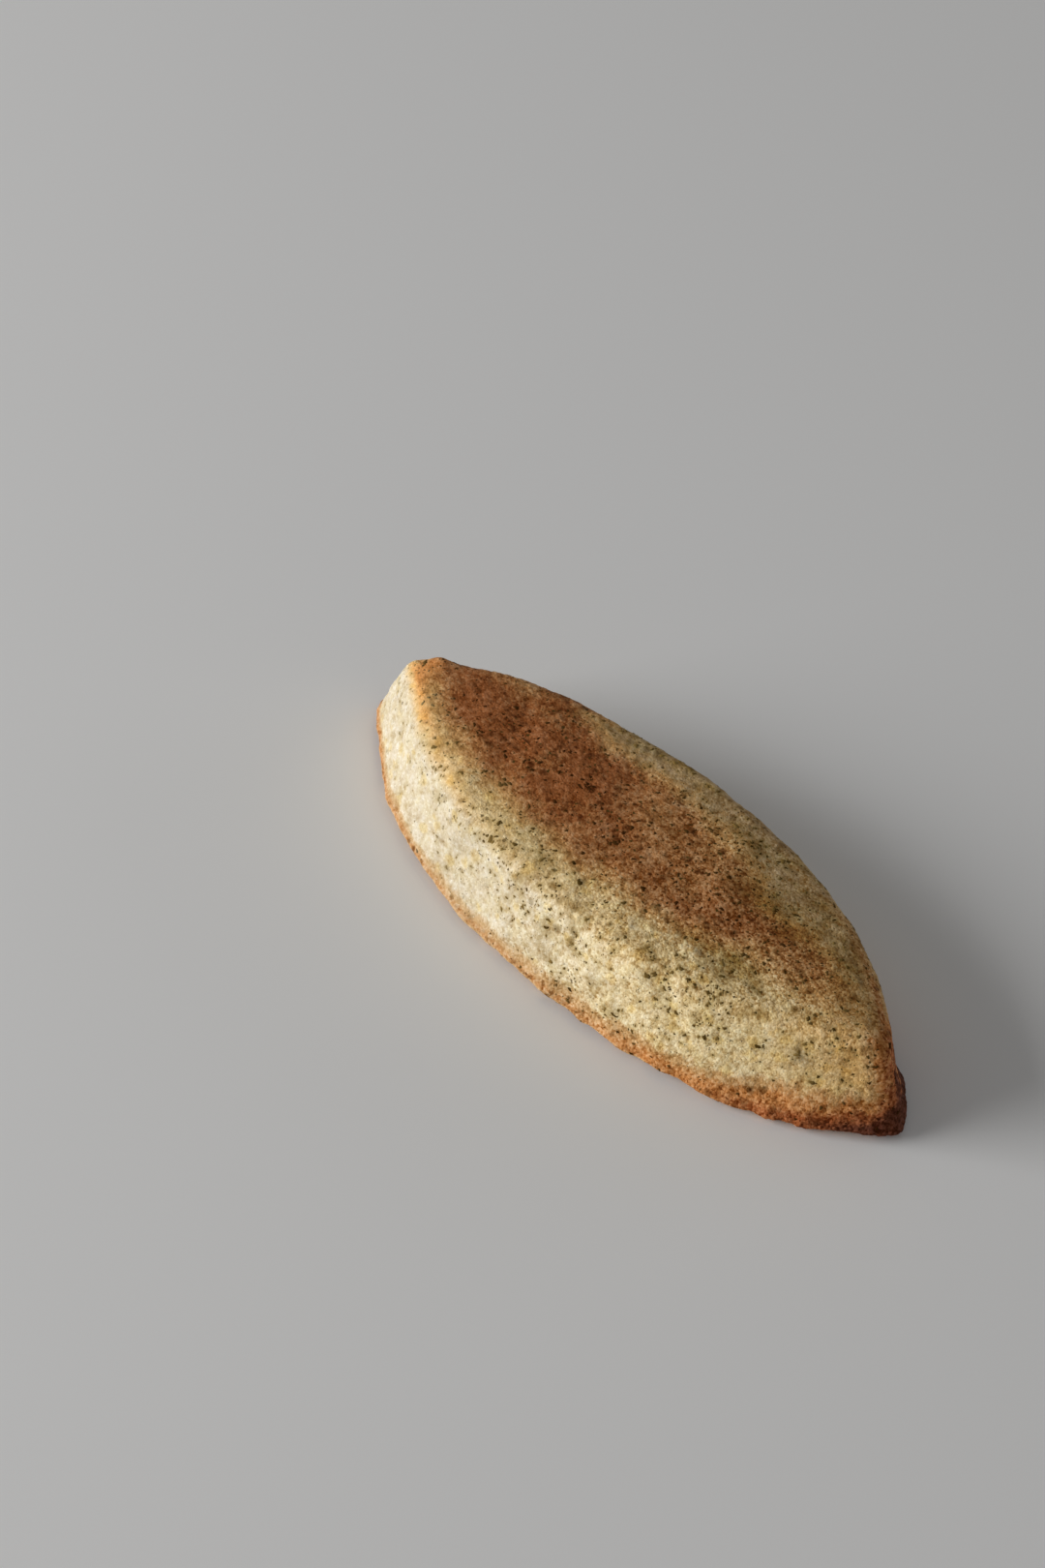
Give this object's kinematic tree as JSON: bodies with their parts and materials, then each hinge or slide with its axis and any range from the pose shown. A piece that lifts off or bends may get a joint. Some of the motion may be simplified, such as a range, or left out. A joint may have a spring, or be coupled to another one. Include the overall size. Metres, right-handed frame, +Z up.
{
  "type": "financier cake",
  "caption": "Small boat-shaped almond cake with pointed tips, steep sides and a browned top, resting on its wide baked face.",
  "frame": {"origin": "on the surface the cake rests on, under the middle of its box", "axes": "+X along the cake towards the tip with the browner rim, +Z up out of the narrow browned face, +Y across the cake"},
  "size_m": [0.0997, 0.0399, 0.0152],
  "materials": {
    "almond_crumb": null
  },
  "bodies": {
    "root": {"financier_cake": "almond_crumb"}
  },
  "joints": []
}
